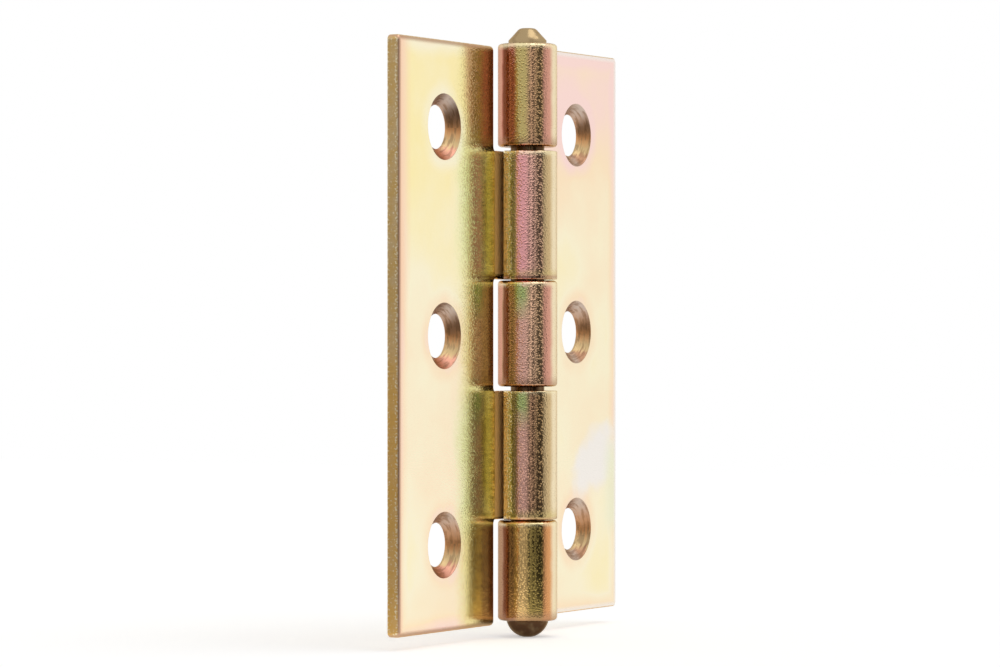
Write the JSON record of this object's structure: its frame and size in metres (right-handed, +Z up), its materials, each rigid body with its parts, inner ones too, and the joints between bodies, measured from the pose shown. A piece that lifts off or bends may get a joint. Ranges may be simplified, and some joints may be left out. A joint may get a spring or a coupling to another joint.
{
  "type": "butt hinge",
  "caption": "Half-wide butt hinge of pressed yellow-chromated steel: flat leaves with countersunk screw holes, rolled knuckles and a riveted pin.",
  "frame": {"origin": "on the pin's axis, half way up the frame leaf's plate", "axes": "+Z up along the pin towards its peened end, +X from the pin across the frame leaf (the one with the end knuckles), -Y out of the countersunk front faces; the leaves are open flat"},
  "size_m": [0.063, 0.0082, 0.0845],
  "materials": {
    "leaf_plating": "yellow chromate over zinc, satin with faint rainbow tints",
    "pin_plating": "yellow chromate over zinc, brown where the ends were riveted"
  },
  "bodies": {
    "frame_leaf": {"three_knuckle_leaf": "leaf_plating", "hinge_pin": "pin_plating"},
    "swing_leaf": {"two_knuckle_leaf": "leaf_plating"}
  },
  "joints": [
    {"name": "hinge_turn", "type": "hinge", "parent": "frame_leaf", "child": "swing_leaf", "pos_m": [0, 0, 0], "axis": [0, 0, 1], "range_deg": [-100, 185]}
  ]
}
